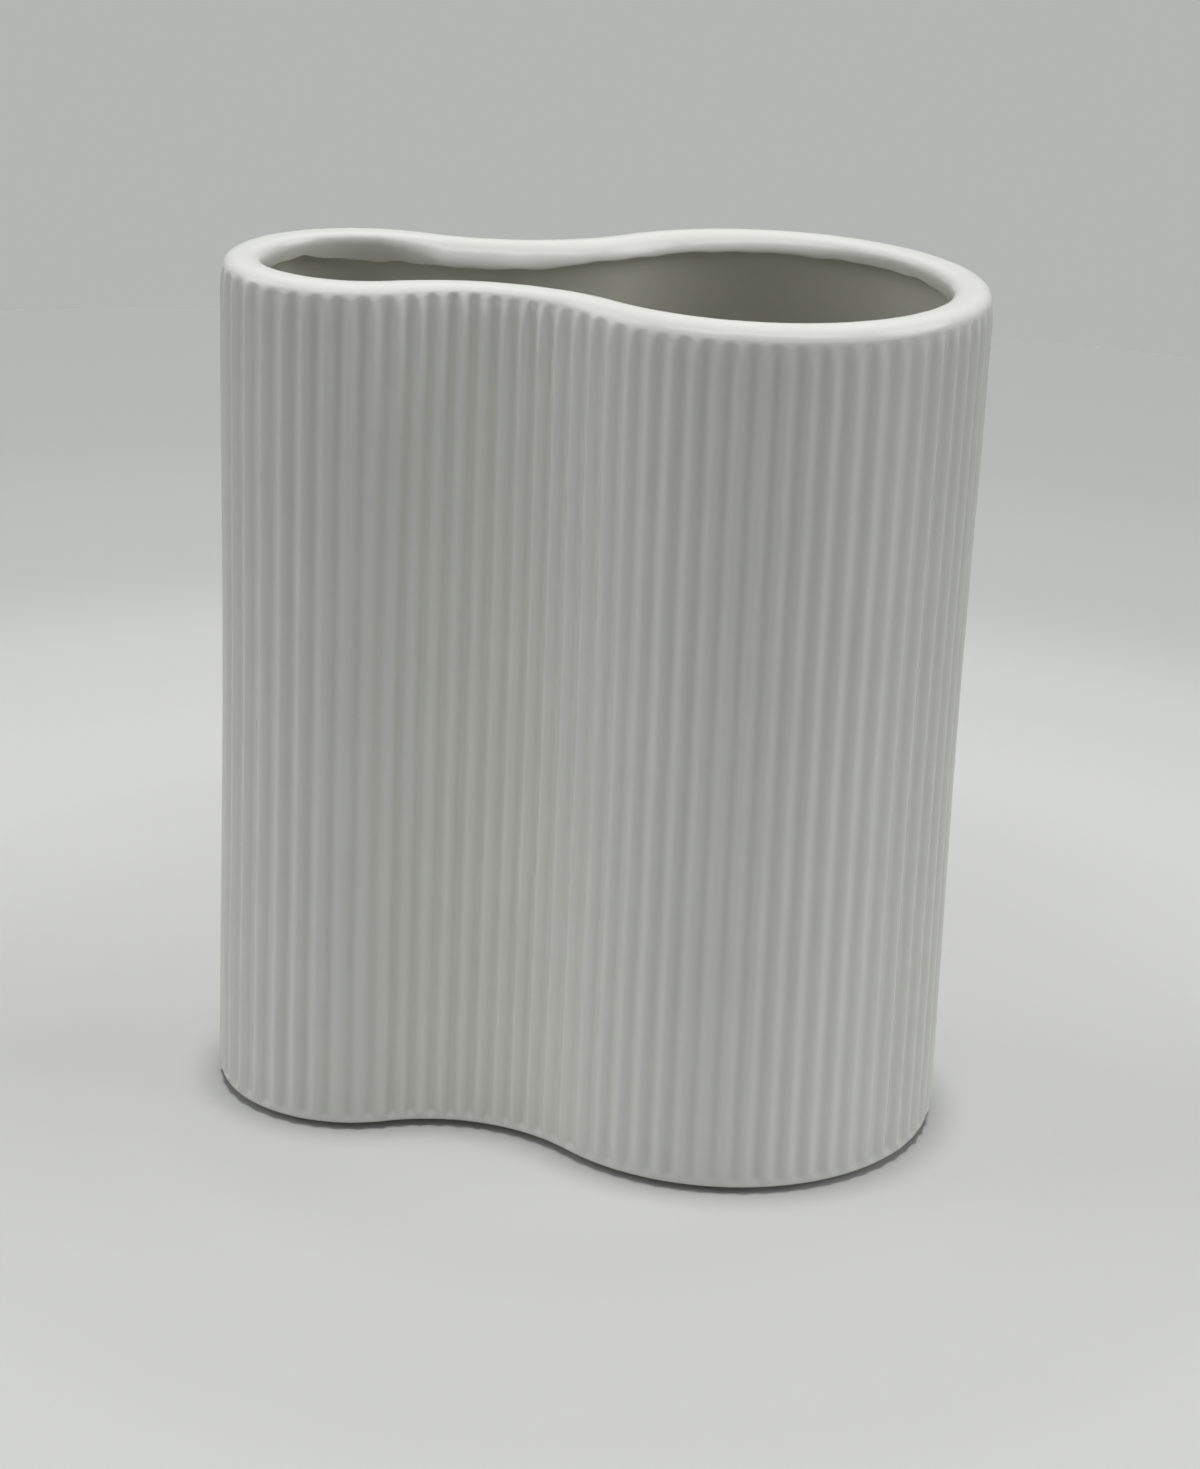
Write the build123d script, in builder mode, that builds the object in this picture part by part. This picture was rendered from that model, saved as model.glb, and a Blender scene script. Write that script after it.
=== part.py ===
"""A glazed ceramic vase with two unequal lobes, a fluted wall and a thick rounded lip.

The plan is a figure of eight without a crossing: a small lobe and a big lobe, joined by two hollow
waist arcs that touch both. The wall stands straight up on the floor slab, and its flutes fade out
under the lip and above the plain band round the foot. The lip is wider than the wall and overhangs
the inside. The origin is on the ground, under the middle of the vase, with X along the lobes and Z up.
"""
import os
from math import atan2, copysign, cos, degrees, pi, radians, sin, sqrt
from typing import NamedTuple

from build123d import *

# Overall sizes in millimetres, with the plan taken at the middle of the flutes' depth
HEIGHT = 200.0
LENGTH = 169.5
WIDTH = 100.0
SMALL_LOBE_RADIUS = 31.0
WAIST_RADIUS = 40.0
WALL_THICKNESS = 5.2

# Flutes: their number, the flat sides that each is drawn with, the depth from crest to hollow, what is
# left of it at the two ends, and the lengths over which it fades
FLUTE_COUNT = 87
FLUTE_SIDES = 8
FLUTE_DEPTH = 1.1
FLUTE_END_DEPTH = 0.2
FLUTE_TOP_RUN_OUT = 2.8
FLUTE_FOOT_RUN_OUT = 2.4

# Lip: its crown is drawn with flat sides, as half an ellipse whose corners are filled out by the exponent,
# and its inner side hangs down in front of the wall
LIP_WIDTH = 8.8
LIP_CROWN = 3.0
LIP_EXPONENT = 3
LIP_SIDES = 8
LIP_DROP = 2.5

# Floor slab and its plain band
BAND_HEIGHT = 2.6
BAND_EDGE_CHAMFER = 0.9
FLOOR_THICKNESS = 7.0

# Gap between the inside of the wall and what stands beside it
CLEARANCE = 0.2

# Bare clay ring that the vase stands on
FOOT_HEIGHT = 1.2
FOOT_INSET = 3.5
FOOT_WIDTH = 6.0

# Levels above the ground
LIP_LEVEL = HEIGHT - LIP_CROWN
WALL_LEVEL = FOOT_HEIGHT + BAND_HEIGHT

# Plan: lobe centres on the X axis, and the waist arcs' centres on both sides of it
BIG_LOBE_RADIUS = WIDTH / 2
SMALL_LOBE_X = SMALL_LOBE_RADIUS - LENGTH / 2
BIG_LOBE_X = LENGTH / 2 - BIG_LOBE_RADIUS
LOBE_SPACING = BIG_LOBE_X - SMALL_LOBE_X
SMALL_REACH = SMALL_LOBE_RADIUS + WAIST_RADIUS
BIG_REACH = BIG_LOBE_RADIUS + WAIST_RADIUS
WAIST_RUN = (SMALL_REACH**2 - BIG_REACH**2 + LOBE_SPACING**2) / (2 * LOBE_SPACING)
WAIST_X = SMALL_LOBE_X + WAIST_RUN
WAIST_Y = sqrt(SMALL_REACH**2 - WAIST_RUN**2)

# Directions from the lobe centres to the points where the waist arcs touch, in degrees
HALF_TURN = 180
SMALL_TOUCH = degrees(atan2(WAIST_Y, WAIST_X - SMALL_LOBE_X))
BIG_TOUCH = degrees(atan2(WAIST_Y, WAIST_X - BIG_LOBE_X))


class Span(NamedTuple):
    """One arc of the plan. Bulge is 1 on a lobe and -1 on a hollow waist, start and turn are in degrees."""

    x: float
    y: float
    radius: float
    bulge: int
    start: float
    turn: float

    def radius_at(self, outset):
        """The arc's radius when it is moved out of the plan by outset."""
        return self.radius + self.bulge * outset

    def length_at(self, outset):
        """The arc's length when it is moved out of the plan by outset."""
        return self.radius_at(outset) * radians(abs(self.turn))


# The plan's arcs in order, from the small lobe's end round by the front and back
SPANS = [
    Span(SMALL_LOBE_X, 0, SMALL_LOBE_RADIUS, 1, HALF_TURN, HALF_TURN - SMALL_TOUCH),
    Span(WAIST_X, -WAIST_Y, WAIST_RADIUS, -1, HALF_TURN - SMALL_TOUCH, SMALL_TOUCH - BIG_TOUCH),
    Span(BIG_LOBE_X, 0, BIG_LOBE_RADIUS, 1, -BIG_TOUCH, 2 * BIG_TOUCH),
    Span(WAIST_X, WAIST_Y, WAIST_RADIUS, -1, HALF_TURN + BIG_TOUCH, SMALL_TOUCH - BIG_TOUCH),
    Span(SMALL_LOBE_X, 0, SMALL_LOBE_RADIUS, 1, SMALL_TOUCH, HALF_TURN - SMALL_TOUCH),
]

# The flutes stand at equal steps along the middle of the lip
MID_LIP = -LIP_WIDTH / 2
MID_LIP_LENGTH = sum(span.length_at(MID_LIP) for span in SPANS)
FLUTE_PITCH = MID_LIP_LENGTH / FLUTE_COUNT

# Places across the lip at the small lobe's end, where its section is drawn
LIP_OUTSIDE_X = -LENGTH / 2
LIP_MIDDLE_X = LIP_OUTSIDE_X - MID_LIP
LIP_INSIDE_X = LIP_OUTSIDE_X + LIP_WIDTH
LIP_STEP_X = LIP_OUTSIDE_X + WALL_THICKNESS + CLEARANCE


def plan_point(station, outset):
    """The point at a distance along the middle of the lip, moved out from the plan by outset."""
    along = station % MID_LIP_LENGTH
    for span in SPANS:
        length = span.length_at(MID_LIP)
        if along <= length:
            break
        along -= length
    angle = radians(span.start + span.turn * along / length)
    radius = span.radius_at(outset)
    return (span.x + radius * cos(angle), span.y + radius * sin(angle))


def draw_plan(outset):
    """Draws the plan's five arcs, moved out by outset, in the open line builder."""
    for span in SPANS:
        CenterArc((span.x, span.y), span.radius_at(outset), span.start, span.turn)


def lip_corner(angle):
    """The point on the lip's crown at an angle from its inner side."""
    across = copysign(abs(cos(angle)) ** (2 / LIP_EXPONENT), cos(angle))
    up = sin(angle) ** (2 / LIP_EXPONENT)
    return (LIP_MIDDLE_X + LIP_WIDTH / 2 * across, LIP_LEVEL + LIP_CROWN * up)


def draw_flutes(depth):
    """Draws crests and hollows round the plan as a wave, with a crest at the small lobe's end."""
    points = []
    for side in range(FLUTE_COUNT * FLUTE_SIDES):
        flutes_passed = side / FLUTE_SIDES
        rise = depth / 2 * cos(2 * pi * flutes_passed)
        points.append(plan_point(flutes_passed * FLUTE_PITCH, rise))
    Polyline(points, close=True)


# Fluted wall: a ruled loft from faint flutes at the band, through the full flutes, to faint ones at the lip
with BuildSketch() as faint_flutes:
    with BuildLine():
        draw_flutes(FLUTE_END_DEPTH)
    make_face()
with BuildSketch() as full_flutes:
    with BuildLine():
        draw_flutes(FLUTE_DEPTH)
    make_face()
WALL_SECTIONS = [
    (WALL_LEVEL, faint_flutes),
    (WALL_LEVEL + FLUTE_FOOT_RUN_OUT, full_flutes),
    (LIP_LEVEL - FLUTE_TOP_RUN_OUT, full_flutes),
    (LIP_LEVEL, faint_flutes),
]
with BuildPart() as fluted_wall:
    loft([Pos(Z=level) * flutes.sketch for level, flutes in WALL_SECTIONS], ruled=True, clean=False)
    with BuildSketch(Plane.XY.offset(WALL_LEVEL)):
        with BuildLine():
            draw_plan(-WALL_THICKNESS)
        make_face()
    extrude(amount=LIP_LEVEL - WALL_LEVEL, mode=Mode.SUBTRACT, clean=False)

# Lip: a crown on top of the wall, deeper on its inner side, carried round the plan
with BuildPart() as rim_lip:
    with BuildLine(Plane.XY.offset(LIP_LEVEL)) as lip_path:
        draw_plan(MID_LIP)
    with BuildSketch(Plane.XZ):
        with BuildLine():
            corners = [
                (LIP_STEP_X, LIP_LEVEL),
                (LIP_STEP_X, LIP_LEVEL - LIP_DROP),
                (LIP_INSIDE_X, LIP_LEVEL - LIP_DROP),
            ]
            for side in range(LIP_SIDES + 1):
                corners.append(lip_corner(pi * side / LIP_SIDES))
            Polyline(corners, close=True)
        make_face()
    sweep(path=lip_path.wires()[0])

# Floor slab: the band's lower edge is broken, and the vessel's floor rises inside the wall
with BuildPart() as base:
    with BuildSketch(Plane.XY.offset(FOOT_HEIGHT)):
        with BuildLine():
            draw_plan(0)
        make_face()
    extrude(amount=BAND_HEIGHT)
    chamfer(base.faces().sort_by(Axis.Z)[0].edges(), BAND_EDGE_CHAMFER)
    with BuildSketch(Plane.XY.offset(WALL_LEVEL)):
        with BuildLine():
            draw_plan(-WALL_THICKNESS - CLEARANCE)
        make_face()
    extrude(amount=FLOOR_THICKNESS - BAND_HEIGHT)

# Foot ring: set in from the band and ground flat
with BuildPart() as foot_ring:
    with BuildSketch():
        with BuildLine():
            draw_plan(-FOOT_INSET)
        make_face()
        with BuildLine():
            draw_plan(-FOOT_INSET - FOOT_WIDTH)
        make_face(mode=Mode.SUBTRACT)
    extrude(amount=FOOT_HEIGHT)

os.makedirs("parts", exist_ok=True)
PIECES = {"rim_lip": rim_lip, "fluted_wall": fluted_wall, "base": base, "foot_ring": foot_ring}
for name, piece in PIECES.items():
    piece.part.label = name
    export_step(piece.part, f"parts/{name}.step")
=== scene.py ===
"""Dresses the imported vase: fluted glazed meshes over a bare foot, on a pale floor under soft light.

Shares of the way round the plan run from the small lobe's end, by the front to the big lobe's end, and on by
the back. An outset is a distance out of the plan, negative towards the inside. Lengths are in metres.
"""

import math
from typing import NamedTuple

import bpy
import numpy as np
from mathutils import Matrix, Vector


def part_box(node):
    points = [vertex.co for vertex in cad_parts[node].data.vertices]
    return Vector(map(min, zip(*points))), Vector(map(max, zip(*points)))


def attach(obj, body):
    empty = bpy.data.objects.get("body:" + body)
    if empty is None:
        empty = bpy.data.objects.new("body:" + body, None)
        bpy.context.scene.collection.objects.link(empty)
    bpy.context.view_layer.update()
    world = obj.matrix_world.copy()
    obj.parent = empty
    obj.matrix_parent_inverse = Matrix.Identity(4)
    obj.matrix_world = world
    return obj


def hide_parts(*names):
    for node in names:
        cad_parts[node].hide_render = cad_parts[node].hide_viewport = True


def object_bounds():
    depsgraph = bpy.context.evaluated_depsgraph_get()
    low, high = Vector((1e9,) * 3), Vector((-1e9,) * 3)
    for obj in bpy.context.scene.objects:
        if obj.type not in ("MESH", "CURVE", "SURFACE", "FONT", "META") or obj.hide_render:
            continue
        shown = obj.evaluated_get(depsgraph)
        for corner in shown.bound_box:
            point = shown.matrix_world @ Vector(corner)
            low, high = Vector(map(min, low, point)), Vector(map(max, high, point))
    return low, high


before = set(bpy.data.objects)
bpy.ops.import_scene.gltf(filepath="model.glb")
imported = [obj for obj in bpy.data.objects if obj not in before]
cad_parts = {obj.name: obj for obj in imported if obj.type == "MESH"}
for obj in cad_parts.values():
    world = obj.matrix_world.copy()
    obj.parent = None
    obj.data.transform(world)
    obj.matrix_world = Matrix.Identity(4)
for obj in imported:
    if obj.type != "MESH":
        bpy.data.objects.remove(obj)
cad_low, cad_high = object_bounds()

# Plan at the middle of the flutes' depth, as in the CAD
LENGTH = 0.1695
WIDTH = 0.100
SMALL_LOBE_RADIUS = 0.031
WAIST_RADIUS = 0.040
WALL_THICKNESS = 0.0052
LIP_WIDTH = 0.0088
MID_LIP = LIP_WIDTH / 2
BIG_LOBE_END_SHARE = 0.5

# Levels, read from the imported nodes
TOP_LEVEL = cad_high.z
LIP_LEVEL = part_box("fluted_wall")[1].z
WALL_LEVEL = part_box("fluted_wall")[0].z
FLOOR_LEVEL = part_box("base")[1].z
FOOT_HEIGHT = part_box("foot_ring")[1].z
LIP_CROWN = TOP_LEVEL - LIP_LEVEL

# Edges, gaps and the foot ring
CLEARANCE = 0.0002
INSIDE_OUTSET = -WALL_THICKNESS - CLEARANCE
BAND_EDGE_RADIUS = 0.0011
FLOOR_COVE_RADIUS = 0.003
FOOT_INSET = 0.0035
FOOT_WIDTH = 0.006
FOOT_EDGE_RADIUS = 0.0004

# How far the wall is drawn in at the middle of its height
DRAWN_IN = 0.0006

# Flutes, with the lengths over which they fade at their ends
FLUTE_COUNT = 87
FLUTE_DEPTH = 0.0011
FLUTE_FOOT_GAP = 0.0006
FLUTE_FOOT_LEVEL = FOOT_HEIGHT + FLUTE_FOOT_GAP
FLUTE_FOOT_FADE = 0.0024
CREST_TOP_FADE = 0.0050
HOLLOW_TOP_FADE = 0.0042
TOP_FADE_POWER = 1.8

# The flutes' depth round the plan: the share of the way round, and what the depth is multiplied by
FLUTE_DEPTH_SHARES = np.array([
    (0.00, 1.00), (0.09, 0.95), (0.12, 1.20), (0.16, 1.35), (0.21, 1.25), (0.25, 1.05), (0.29, 0.75),
    (0.36, 0.70), (0.40, 0.70), (0.44, 1.05), (0.50, 1.00), (1.00, 1.00),
])

# The flutes' stray from equal steps, in pitches: the share of the way round, and the stray at top and foot
FLUTE_DRIFT_SHARES = np.array([
    (0.00, -0.05, 0.10),
    (0.07, -0.25, -0.05),
    (0.12, 0.15, 0.30),
    (0.18, -0.15, 0.05),
    (0.22, -0.05, 0.05),
    (0.26, -0.30, -0.40),
    (0.30, -0.20, -0.30),
    (0.37, 0.30, 0.10),
    (0.40, 0.15, 0.15),
    (0.44, 0.00, 0.00),
    (0.56, 0.05, 0.00),
    (0.68, -0.05, -0.10),
    (0.79, 0.10, 0.10),
    (1.00, -0.05, 0.10),
])

# The lip's section round the plan, where a small exponent makes a round corner
LIP_SECTIONS = np.array([
    # share of the way round, flutes' end below the top, outer corner's depth and exponent, inner corner's
    (0.00, 0.0020, 0.0030, 2.4, 0.0056, 3.0),
    (0.08, 0.0022, 0.0030, 2.2, 0.0060, 3.0),
    (0.13, 0.0018, 0.0030, 2.6, 0.0056, 2.6),
    (0.16, 0.0013, 0.0030, 3.2, 0.0054, 2.4),
    (0.19, 0.0020, 0.0030, 3.0, 0.0052, 2.2),
    (0.27, 0.0030, 0.0042, 2.0, 0.0046, 2.2),
    (0.37, 0.0036, 0.0041, 2.1, 0.0048, 2.3),
    (0.43, 0.0030, 0.0035, 2.4, 0.0050, 2.6),
    (0.50, 0.0026, 0.0030, 2.6, 0.0050, 3.0),
    (0.59, 0.0028, 0.0030, 2.6, 0.0042, 4.0),
    (0.64, 0.0030, 0.0030, 2.6, 0.0043, 2.4),
    (0.70, 0.0028, 0.0030, 2.6, 0.0042, 1.9),
    (0.78, 0.0024, 0.0030, 2.6, 0.0042, 1.9),
    (0.82, 0.0020, 0.0030, 2.8, 0.0058, 1.8),
    (0.86, 0.0020, 0.0030, 2.6, 0.0058, 1.9),
    (0.90, 0.0020, 0.0030, 2.6, 0.0063, 6.0),
    (0.93, 0.0020, 0.0030, 2.6, 0.0058, 6.0),
    (0.95, 0.0020, 0.0030, 2.5, 0.0044, 4.0),
    (1.00, 0.0020, 0.0030, 2.4, 0.0056, 3.0),
])

# Unevenness of the lip and of the flutes' depth, as shares of them
LIP_WANDER_SHARE = 0.02
DEPTH_WANDER_SHARE = 0.10

# Waves round the plan that make them so: the number of crests, the start, and the twist over the height
LIP_WAVES = [(19, 0.3, 0), (31, 1.7, 0), (47, 0.9, 0)]
DEPTH_WAVES = [(7, 0.4, 0), (23, 1.9, 0.8)]

# Sag of the small lobe: the share of the way from the big lobe's end, and the share of the height lost
SAG_SHARES = np.array([(0.22, 0), (0.34, 0.0014), (0.40, 0.0026)])

# Painted shade on the lobes, which leaves the waist looking lit: the share of the way from the big lobe's
# end, and the share of the darkening
PAINTED_SHADE_SHARES = np.array([(0.20, 1), (0.28, 0), (0.35, 0), (0.40, 1)])
# The share of that painted shade on the lip
LIP_PAINTED_SHADE_SHARE = 0.4

# Meshes: columns for each flute, rows, and the angle from which an edge is shaded sharp
FLUTE_COLUMNS = 16
FOOT_COLUMNS = 4
FOOT_FADE_ROWS = 10
WALL_ROWS = 16
TOP_FADE_ROWS = 20
INNER_ROWS = 8
LIP_ROWS = 20
BAND_ROWS = 6
EDGE_ROWS = 6
QUARTER_TURN = math.pi / 2
SHARP_ANGLE = math.radians(40)

# Glaze: the stops of its clouded white, and the tints of painted shade that multiply it in places
GLAZE_STOPS = [(0.35, (0.884, 0.889, 0.846)), (0.65, (0.899, 0.904, 0.862))]
# Painted shade in the hollows of the flutes
HOLLOW_SHADE_TINT = (0.91, 0.91, 0.895)
# Painted shade inside the vase, darker and warmer
INSIDE_SHADE_TINT = (0.89, 0.89, 0.84)
# Painted shade on the lobes, and at a share on the lip
PAINTED_SHADE_TINT = (0.90, 0.90, 0.90)
GLAZE_IOR = 1.5

# Bare clay: the stops of its stained colour
CLAY_STOPS = [(0.35, (0.55, 0.50, 0.43)), (0.65, (0.68, 0.63, 0.56))]

# Floor: its grey at shares of its radius, which paints light and shade: painted shade near the middle and far
# away, and a painted pool of light in a ring round the vase; and the tint of the grey at the middle and at
# the far edge
FLOOR_RADIUS = 0.8
FLOOR_SIDES = 128
FLOOR_PAINTED_LIGHT_GREYS = [
    (0.00, 0.530), (0.10, 0.530), (0.14, 0.560), (0.19, 0.575), (0.24, 0.603), (0.31, 0.640),
    (0.40, 0.605), (0.55, 0.495), (0.80, 0.445), (1.00, 0.438),
]
NEAR_TINT = np.array([1.0, 1.01, 0.985])
FAR_TINT = np.array([1.0, 1.022, 0.987])
FLOOR_SPECULAR = 0.2

# Suns: the direction where each stands, its width in degrees, its strength, and whether the glaze mirrors it
SUNS = {
    "overhead": ((0, 0, 1), 6, 2.36, False),
    "left": ((-1.8, 0, 1), 40, 0.57, True),
    "right": ((1.8, 0, 1), 40, 0.73, True),
    "front": ((-0.3, -1.8, 1), 60, 0.23, True),
}

# Long lamp that only the glaze mirrors
STRIP_PLACE = Vector((0, -0.8, 1.6))
STRIP_AIM = Vector((0, 0, 0.15))
STRIP_WIDTH = 2.4
STRIP_DEPTH = 0.40
STRIP_WATTS = 7.0

# Room: the grey that lights the vase, and the background that the camera and reflections see
ROOM_LIGHT = (0.06, 0.06, 0.06)
ROOM_SEEN = (0.452, 0.462, 0.445)

# Camera, fitted to the photo's outlines, with its angles in radians and its lens and sensor in millimetres
CAMERA_PLACE = (0.0461, -0.7413, 0.3664)
CAMERA_YAW = 0.0583
CAMERA_PITCH = 0.3562
CAMERA_ROLL = 0.0411
CAMERA_LENS = 84.06
CAMERA_SENSOR = 36


class Arc(NamedTuple):
    """One arc of the plan. Bulge is 1 on a lobe and -1 on a hollow waist, start and turn are in radians."""

    x: float
    y: float
    radius: float
    bulge: int
    start: float
    turn: float


def plan_arcs():
    """The plan's five arcs in order, from the small lobe's end round by the front and back."""
    big_radius = WIDTH / 2
    small_x = SMALL_LOBE_RADIUS - LENGTH / 2
    big_x = LENGTH / 2 - big_radius
    spacing = big_x - small_x
    small_reach = SMALL_LOBE_RADIUS + WAIST_RADIUS
    big_reach = big_radius + WAIST_RADIUS
    run = (small_reach**2 - big_reach**2 + spacing**2) / (2 * spacing)
    waist_x = small_x + run
    waist_y = math.sqrt(small_reach**2 - run**2)
    small_touch = math.atan2(waist_y, waist_x - small_x)
    big_touch = math.atan2(waist_y, waist_x - big_x)
    return [
        Arc(small_x, 0, SMALL_LOBE_RADIUS, 1, math.pi, math.pi - small_touch),
        Arc(waist_x, -waist_y, WAIST_RADIUS, -1, math.pi - small_touch, small_touch - big_touch),
        Arc(big_x, 0, big_radius, 1, -big_touch, 2 * big_touch),
        Arc(waist_x, waist_y, WAIST_RADIUS, -1, math.pi + big_touch, small_touch - big_touch),
        Arc(small_x, 0, SMALL_LOBE_RADIUS, 1, small_touch, math.pi - small_touch),
    ]


def read_table(table, places):
    """A table's further columns, read between its rows at places along its first column."""
    at, *columns = table.T
    return [np.interp(places, at, column) for column in columns]


def waves(shares, kinds, climb=0):
    """Waves round the plan, added up, at a share of the height."""
    turn = math.tau * shares
    return sum(np.sin(crests * turn + start + twist * climb) for crests, start, twist in kinds)


def smooth_step(share):
    """Goes from 0 to 1, level at both ends."""
    return share**2 * (3 - 2 * share)


class Plan:
    """The plan at equal steps along the lip's middle: points, outward normals and what changes round it."""

    def __init__(self, columns):
        self.shares = np.arange(columns) / columns
        x, y, radius, bulge, start, turn = np.array(plan_arcs()).T
        lengths = (radius - bulge * MID_LIP) * np.abs(turn)
        ends = np.cumsum(lengths)
        along = self.shares * ends[-1]
        at = np.searchsorted(ends, along, side="right")
        angle = start[at] + turn[at] * (along - ends[at] + lengths[at]) / lengths[at]
        ray = np.column_stack([np.cos(angle), np.sin(angle)])
        self.points = np.column_stack([x, y])[at] + radius[at, None] * ray
        self.normals = bulge[at, None] * ray
        from_big_lobe = np.abs(self.shares - BIG_LOBE_END_SHARE)
        [self.sag] = read_table(SAG_SHARES, from_big_lobe)
        # How strong the painted shade on the lobes is at each column
        [self.thin] = read_table(PAINTED_SHADE_SHARES, from_big_lobe)
        uneven = 1 + LIP_WANDER_SHARE * waves(self.shares, LIP_WAVES)
        section = [uneven * column for column in read_table(LIP_SECTIONS, self.shares)]
        self.flute_end, outer_depth, self.outer_exponent, self.inner_depth, self.inner_exponent = section
        self.outer_depth = np.maximum(outer_depth, LIP_CROWN)

    def ring(self, outset, height):
        """One closed loop of points at an outset and a height."""
        outset = np.broadcast_to(outset, self.shares.shape)
        points = self.points + self.normals * outset[:, None]
        return np.column_stack([points, height * (1 - self.sag)])

    def outer_corner(self, height):
        """The outset of the lip's outer corner at a height: 0 below the corner, and negative on it."""
        climb = np.clip(1 - (TOP_LEVEL - height) / self.outer_depth, 0, 1)
        return MID_LIP * ((1 - climb**self.outer_exponent) ** (1 / self.outer_exponent) - 1)

    def flute_wave(self, height):
        """The flutes' rise at each column, about -1 in the hollows and 1 on the crests, uneven as cast."""
        climb = height / TOP_LEVEL
        top, foot = read_table(FLUTE_DRIFT_SHARES, self.shares)
        drift = climb * top + (1 - climb) * foot
        [depth] = read_table(FLUTE_DEPTH_SHARES, self.shares)
        swell = DEPTH_WANDER_SHARE * waves(self.shares, DEPTH_WAVES, climb) / len(DEPTH_WAVES)
        return np.cos(FLUTE_COUNT * math.tau * self.shares + math.tau * drift) * depth * (1 + swell)

    def flute_rise(self, height):
        """The flutes' outset at each column, faded at both ends. At the top the hollows end more sharply."""
        wave = self.flute_wave(height)
        top_fade = np.where(wave > 0, CREST_TOP_FADE, HOLLOW_TOP_FADE)
        down = np.clip((TOP_LEVEL - self.flute_end - height) / top_fade, 0, 1)
        up = np.clip((height - FLUTE_FOOT_LEVEL) / FLUTE_FOOT_FADE, 0, 1)
        return FLUTE_DEPTH / 2 * wave * (1 - (1 - down) ** TOP_FADE_POWER) * smooth_step(up)


def round_corner(outset, height, radius, start, end):
    """Pairs of outset and height on a corner about its middle, from start to end in quarter turns."""
    angles = QUARTER_TURN * np.linspace(start, end, EDGE_ROWS + 1)
    return list(zip(outset + radius * np.cos(angles), height + radius * np.sin(angles)))


def new_piece(name, node, slot, material, rings, caps=False, **attributes):
    """Makes a mesh that runs from ring to ring, and closes on its first ring or with caps at both ends."""
    columns = len(rings[0])
    index = np.arange(len(rings) * columns).reshape(len(rings), columns)
    lower = index[:-1] if caps else index
    upper = index[1:] if caps else np.roll(index, -1, 0)
    quads = np.stack([lower, np.roll(lower, -1, 1), np.roll(upper, -1, 1), upper], -1).reshape(-1, 4)
    faces = quads.tolist()
    if caps:
        faces += [index[0, ::-1].tolist(), index[-1].tolist()]
    mesh = bpy.data.meshes.new(name)
    mesh.from_pydata(np.concatenate(rings).tolist(), [], faces)
    mesh.shade_smooth()
    mesh.set_sharp_from_angle(angle=SHARP_ANGLE)
    for title, rows in attributes.items():
        values = np.concatenate([np.broadcast_to(row, columns) for row in rows])
        mesh.attributes.new(title, "FLOAT", "POINT").data.foreach_set("value", values)
    mesh.materials.append(material)
    piece = bpy.data.objects.new(name, mesh)
    bpy.context.scene.collection.objects.link(piece)
    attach(piece, "root")
    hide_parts(node)


class Skin:
    """The rings of a glazed piece, and what the glaze reads on them."""

    def __init__(self):
        self.plan = Plan(FLUTE_COUNT * FLUTE_COLUMNS)
        self.rings = []
        self.flute = []
        self.inside = []

    def add_fluted(self, outset, height):
        """Adds a ring of the outside, with the flutes on it."""
        rise = self.plan.flute_rise(height)
        self.rings.append(self.plan.ring(outset + rise, height))
        self.flute.append(rise / FLUTE_DEPTH)
        self.inside.append(0)

    def add_smooth(self, outset, height, inside):
        """Adds a ring without flutes, where inside is 1 within the vase, which takes painted shade, and 0 on
        the lip.
        """
        self.rings.append(self.plan.ring(outset, height))
        self.flute.append(0)
        self.inside.append(inside)

    def make(self, name, node, material, thin, caps=False):
        """Makes the piece, with painted shade as strong as stated at each column."""
        attributes = {"flute": self.flute, "inside": self.inside, "thin": [thin] * len(self.rings)}
        new_piece(name, node, "white_glaze", material, self.rings, caps, **attributes)


def make_lip(material):
    """The lip: an outer corner with the last of the flutes on it, and an inner side that hangs down."""
    skin = Skin()
    plan = skin.plan
    start = np.arcsin((1 - LIP_CROWN / plan.outer_depth) ** (plan.outer_exponent / 2))
    for angle in np.linspace(start, QUARTER_TURN, LIP_ROWS + 1):
        climb = np.sin(angle) ** (2 / plan.outer_exponent)
        height = TOP_LEVEL - plan.outer_depth * (1 - climb)
        skin.add_fluted(plan.outer_corner(height), height)
    bottom = TOP_LEVEL - plan.inner_depth
    for angle in np.linspace(QUARTER_TURN, 0, LIP_ROWS + 1)[1:-1]:
        across = math.cos(angle) ** (2 / plan.inner_exponent)
        climb = math.sin(angle) ** (2 / plan.inner_exponent)
        skin.add_smooth(-MID_LIP * (across + 1), bottom + plan.inner_depth * climb, inside=0)
    for outset, height in [(-LIP_WIDTH, bottom), (INSIDE_OUTSET, bottom), (INSIDE_OUTSET, LIP_LEVEL)]:
        skin.add_smooth(outset, height, inside=1)
    skin.make("glazed_lip", "rim_lip", material, LIP_PAINTED_SHADE_SHARE)


def make_wall(material):
    """The upright wall, fluted and a little drawn in outside, and smooth inside."""
    skin = Skin()
    foot_full = FLUTE_FOOT_LEVEL + FLUTE_FOOT_FADE
    top_full = LIP_LEVEL - CREST_TOP_FADE
    heights = np.concatenate([
        np.linspace(WALL_LEVEL, foot_full, FOOT_FADE_ROWS, endpoint=False),
        np.linspace(foot_full, top_full, WALL_ROWS, endpoint=False),
        np.linspace(top_full, LIP_LEVEL, TOP_FADE_ROWS),
    ])
    for height in heights:
        climb = (height - WALL_LEVEL) / (LIP_LEVEL - WALL_LEVEL)
        drawn_in = DRAWN_IN * math.sin(math.pi * climb) ** 2
        skin.add_fluted(skin.plan.outer_corner(height) - drawn_in, height)
    for height in np.linspace(LIP_LEVEL, WALL_LEVEL, INNER_ROWS):
        skin.add_smooth(-WALL_THICKNESS, height, inside=1)
    skin.make("glazed_wall", "fluted_wall", material, skin.plan.thin)


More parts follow.
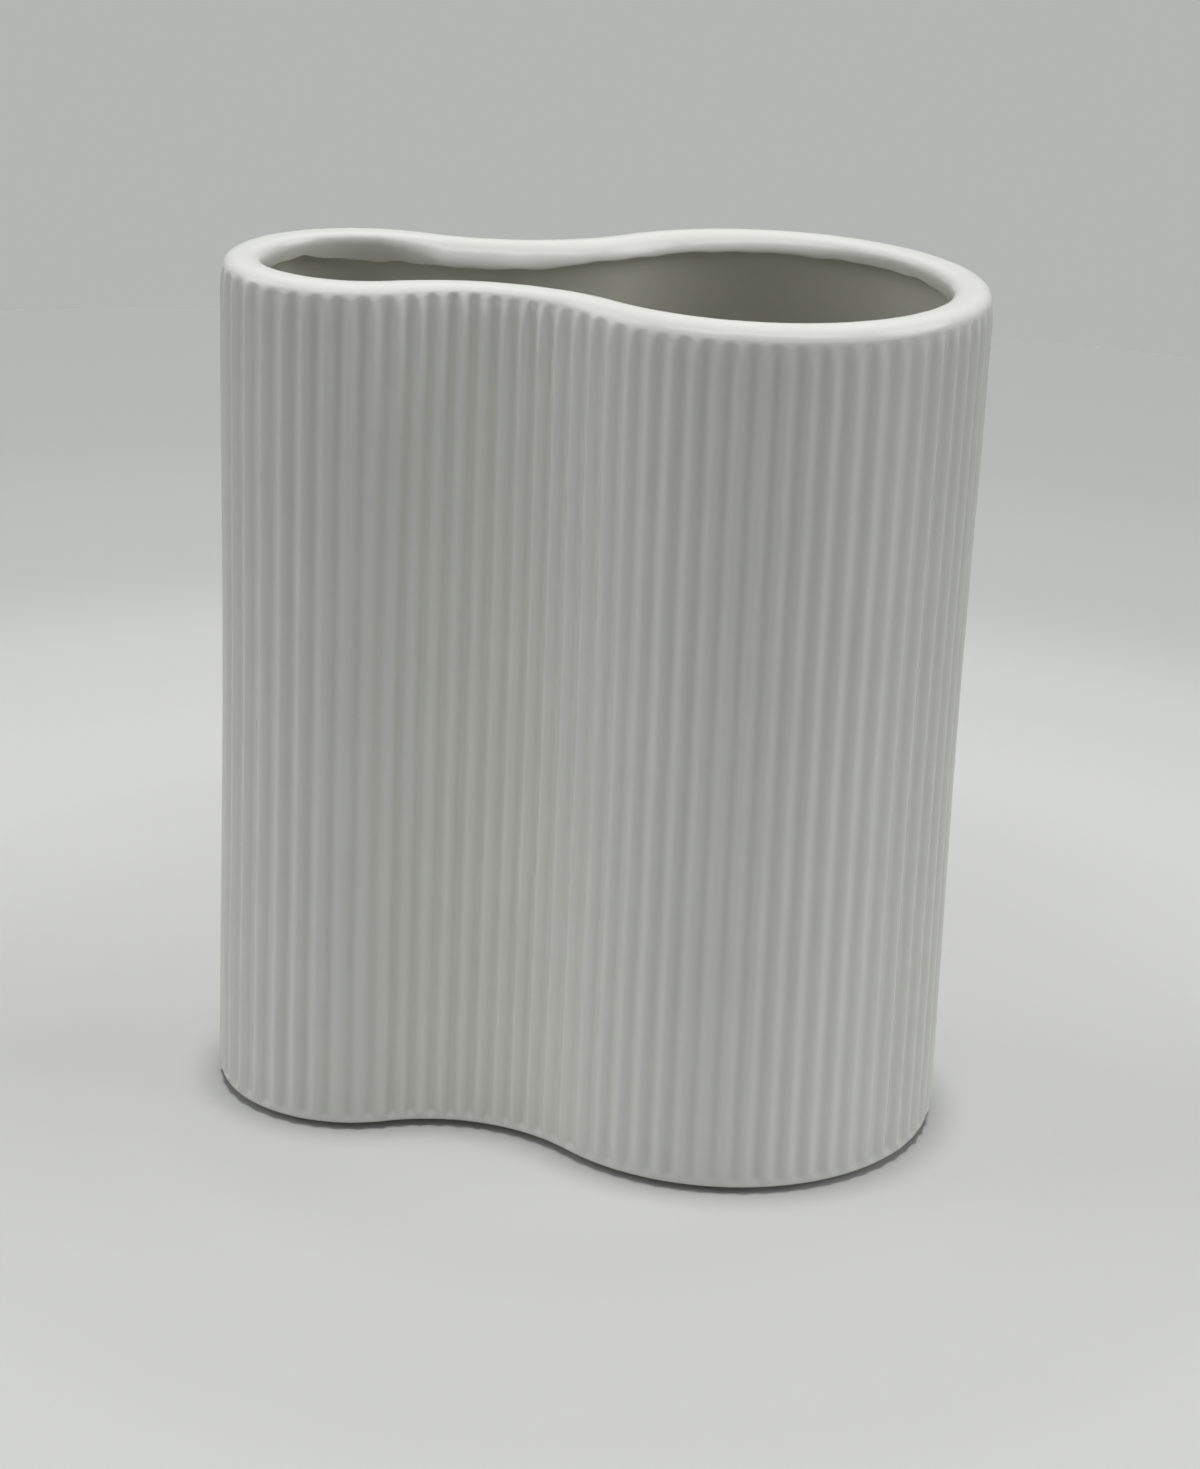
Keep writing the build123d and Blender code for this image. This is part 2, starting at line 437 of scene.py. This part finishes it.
def make_base(material):
    """The floor slab: a rounded lower edge, a band where the flutes end, and a floor with a cove."""
    skin = Skin()
    band_foot = FOOT_HEIGHT + BAND_EDGE_RADIUS
    for outset, height in round_corner(-BAND_EDGE_RADIUS, band_foot, BAND_EDGE_RADIUS, -1, 0):
        skin.add_fluted(outset, height)
    for height in np.linspace(band_foot, WALL_LEVEL, BAND_ROWS)[1:]:
        skin.add_fluted(0, height)
    skin.add_smooth(INSIDE_OUTSET, WALL_LEVEL, inside=1)
    cove_outset = INSIDE_OUTSET - FLOOR_COVE_RADIUS
    cove_top = FLOOR_LEVEL + FLOOR_COVE_RADIUS
    for outset, height in round_corner(cove_outset, cove_top, FLOOR_COVE_RADIUS, 0, -1):
        skin.add_smooth(outset, height, inside=1)
    skin.make("glazed_base", "base", material, skin.plan.thin, caps=True)


def make_foot(material):
    """The bare clay ring under the slab, with its ground edges a little rounded."""
    plan = Plan(FLUTE_COUNT * FOOT_COLUMNS)
    outer = -FOOT_INSET
    inner = outer - FOOT_WIDTH
    section = [
        (inner, FOOT_HEIGHT),
        *round_corner(inner + FOOT_EDGE_RADIUS, FOOT_EDGE_RADIUS, FOOT_EDGE_RADIUS, 2, 3),
        *round_corner(outer - FOOT_EDGE_RADIUS, FOOT_EDGE_RADIUS, FOOT_EDGE_RADIUS, 3, 4),
        (outer, FOOT_HEIGHT),
    ]
    rings = [plan.ring(outset, height) for outset, height in section]
    new_piece("bare_foot", "foot_ring", "bare_clay", material, rings)


class Graph:
    """A material's nodes, with short calls to add and join them."""

    def __init__(self, name):
        self.material = bpy.data.materials.new(name)
        self.material.use_nodes = True
        self.tree = self.material.node_tree
        self.shader = self.tree.nodes["Principled BSDF"]

    def node(self, kind, settings=None, **inputs):
        """Adds a node, with its own settings and the values of its inputs."""
        node = self.tree.nodes.new("ShaderNode" + kind)
        for name, value in (settings or {}).items():
            setattr(node, name, value)
        for name, value in inputs.items():
            node.inputs[name.replace("_", " ")].default_value = value
        return node

    def link(self, source, target):
        """Joins an output to an input."""
        self.tree.links.new(source, target)

    def shade(self, colour, roughness):
        """Gives the shader its colour and roughness."""
        self.link(colour, self.shader.inputs["Base Color"])
        self.link(roughness, self.shader.inputs["Roughness"])

    def place(self):
        """The place of a point in the object's own metres."""
        return self.node("TexCoord").outputs["Object"]

    def attribute(self, name):
        """A value that the mesh holds at its points."""
        return self.node("Attribute", {"attribute_name": name}).outputs["Fac"]

    def noise(self, scale, detail):
        """A noise texture in the object's own metres."""
        noise = self.node("TexNoise", Scale=scale, Detail=detail)
        self.link(self.place(), noise.inputs["Vector"])
        return noise.outputs["Fac"]

    def ramp(self, factor, stops, interpolation="LINEAR"):
        """A colour that follows the factor through stops, each of them a position and a colour."""
        ramp = self.node("ValToRGB")
        ramp.color_ramp.interpolation = interpolation
        elements = ramp.color_ramp.elements
        while len(elements) < len(stops):
            elements.new(1)
        for element, (position, colour) in zip(elements, stops):
            element.position = position
            element.color = (*colour, 1)
        self.link(factor, ramp.inputs["Fac"])
        return ramp.outputs["Color"]

    def spread(self, factor, low, high, start=0.3, end=0.7):
        """A number that goes from low to high as the factor goes from start to end."""
        spread = self.node("MapRange", From_Min=start, From_Max=end, To_Min=low, To_Max=high)
        self.link(factor, spread.inputs["Value"])
        return spread.outputs["Result"]

    def stain(self, colour, factor, tint):
        """The colour, multiplied by the tint where the factor is 1."""
        stain = self.node("MixRGB", {"blend_type": "MULTIPLY"}, Color2=(*tint, 1))
        self.link(colour, stain.inputs["Color1"])
        self.link(factor, stain.inputs["Fac"])
        return stain.outputs["Color"]

    def bump(self, height, distance, strength):
        """Gives the shader a bump of that height."""
        bump = self.node("Bump", Distance=distance, Strength=strength)
        self.link(height, bump.inputs["Height"])
        self.link(bump.outputs["Normal"], self.shader.inputs["Normal"])


def glaze_material():
    """White glaze: clouded, with painted shade in the hollows, on the lobes and the lip, and inside the vase,
    where the shade is warmer too, with a fine ripple.
    """
    graph = Graph("white_glaze")
    colour = graph.ramp(graph.noise(scale=30, detail=2), GLAZE_STOPS)
    # Painted shade in the hollows, where the flute attribute is low
    hollow = graph.spread(graph.attribute("flute"), low=1, high=0, start=-0.5, end=0.1)
    colour = graph.stain(colour, hollow, HOLLOW_SHADE_TINT)
    # Painted shade inside the vase
    colour = graph.stain(colour, graph.attribute("inside"), INSIDE_SHADE_TINT)
    # Painted shade on the lobes and the lip
    colour = graph.stain(colour, graph.attribute("thin"), PAINTED_SHADE_TINT)
    graph.shade(colour, graph.spread(graph.noise(scale=60, detail=2), low=0.10, high=0.15))
    graph.bump(graph.noise(scale=900, detail=2), distance=0.0001, strength=0.03)
    graph.shader.inputs["IOR"].default_value = GLAZE_IOR
    return graph.material


def clay_material():
    """Unglazed fired clay, ground flat: matt, grainy and a little stained."""
    graph = Graph("bare_clay")
    colour = graph.ramp(graph.noise(scale=90, detail=4), CLAY_STOPS)
    graph.shade(colour, graph.spread(graph.noise(scale=300, detail=2), low=0.8, high=0.95))
    graph.bump(graph.noise(scale=2200, detail=3), distance=0.0002, strength=0.5)
    return graph.material


def floor_material():
    """Pale paper with painted light: a painted pool of light in a ring round the vase, and painted shade near
    the middle and far away.
    """
    graph = Graph("pale_floor")
    reach = graph.node("VectorMath", {"operation": "LENGTH"})
    graph.link(graph.place(), reach.inputs["Vector"])
    share = graph.spread(reach.outputs["Value"], low=0, high=1, start=0, end=FLOOR_RADIUS)
    stops = [(at, grey * (NEAR_TINT + at * (FAR_TINT - NEAR_TINT))) for at, grey in FLOOR_PAINTED_LIGHT_GREYS]
    colour = graph.ramp(share, stops, "EASE")
    graph.shade(colour, graph.spread(graph.noise(scale=6, detail=3), low=0.75, high=0.9))
    graph.shader.inputs["Specular IOR Level"].default_value = FLOOR_SPECULAR
    return graph.material


def make_floor(material):
    """A flat round floor under the vase."""
    angles = math.tau * np.arange(FLOOR_SIDES) / FLOOR_SIDES
    rim = FLOOR_RADIUS * np.column_stack([np.cos(angles), np.sin(angles), np.zeros(FLOOR_SIDES)])
    mesh = bpy.data.meshes.new("floor")
    mesh.from_pydata(rim.tolist(), [], [list(range(FLOOR_SIDES))])
    mesh.materials.append(material)
    floor = bpy.data.objects.new("floor", mesh)
    bpy.context.scene.collection.objects.link(floor)


def make_suns():
    """Soft lights from far away."""
    for name, (direction, width, strength, mirrored) in SUNS.items():
        data = bpy.data.lights.new(name, "SUN")
        data.angle = math.radians(width)
        data.energy = strength
        lamp = bpy.data.objects.new(name, data)
        lamp.rotation_euler = Vector(direction).to_track_quat("Z", "Y").to_euler()
        lamp.visible_glossy = mirrored
        bpy.context.scene.collection.objects.link(lamp)


def make_strip():
    """A long lamp that only shows as a fine line in the glaze."""
    data = bpy.data.lights.new("strip", "AREA")
    data.shape = "RECTANGLE"
    data.size = STRIP_WIDTH
    data.size_y = STRIP_DEPTH
    data.energy = STRIP_WATTS
    lamp = bpy.data.objects.new("strip", data)
    lamp.location = STRIP_PLACE
    lamp.rotation_euler = (STRIP_AIM - STRIP_PLACE).to_track_quat("-Z", "Y").to_euler()
    lamp.visible_camera = False
    lamp.visible_diffuse = False
    bpy.context.scene.collection.objects.link(lamp)


def make_world():
    """A dim grey room, which the camera and reflections see as a pale background."""
    world = bpy.data.worlds.new("room")
    world.use_nodes = True
    tree = world.node_tree
    path = tree.nodes.new("ShaderNodeLightPath")
    seen = path.outputs["Is Camera Ray"]
    for ray in ("Is Glossy Ray", "Is Transmission Ray"):
        either = tree.nodes.new("ShaderNodeMath")
        either.operation = "MAXIMUM"
        tree.links.new(seen, either.inputs[0])
        tree.links.new(path.outputs[ray], either.inputs[1])
        seen = either.outputs["Value"]
    colour = tree.nodes.new("ShaderNodeMixRGB")
    colour.inputs["Color1"].default_value = (*ROOM_LIGHT, 1)
    colour.inputs["Color2"].default_value = (*ROOM_SEEN, 1)
    tree.links.new(seen, colour.inputs["Fac"])
    tree.links.new(colour.outputs["Color"], tree.nodes["Background"].inputs["Color"])
    bpy.context.scene.world = world


def make_camera():
    """The camera at the photo's place and angle."""
    data = bpy.data.cameras.new("camera")
    data.sensor_width = CAMERA_SENSOR
    data.lens = CAMERA_LENS
    camera = bpy.data.objects.new("camera", data)
    turn = Matrix.Rotation(CAMERA_YAW, 4, "Z")
    tilt = Matrix.Rotation(QUARTER_TURN - CAMERA_PITCH, 4, "X")
    roll = Matrix.Rotation(CAMERA_ROLL, 4, "Z")
    camera.matrix_world = Matrix.Translation(CAMERA_PLACE) @ turn @ tilt @ roll
    bpy.context.scene.collection.objects.link(camera)
    bpy.context.scene.camera = camera


white_glaze = glaze_material()
make_lip(white_glaze)
make_wall(white_glaze)
make_base(white_glaze)
make_foot(clay_material())
make_floor(floor_material())
make_suns()
make_strip()
make_world()
make_camera()
bpy.context.scene.view_settings.view_transform = "Standard"
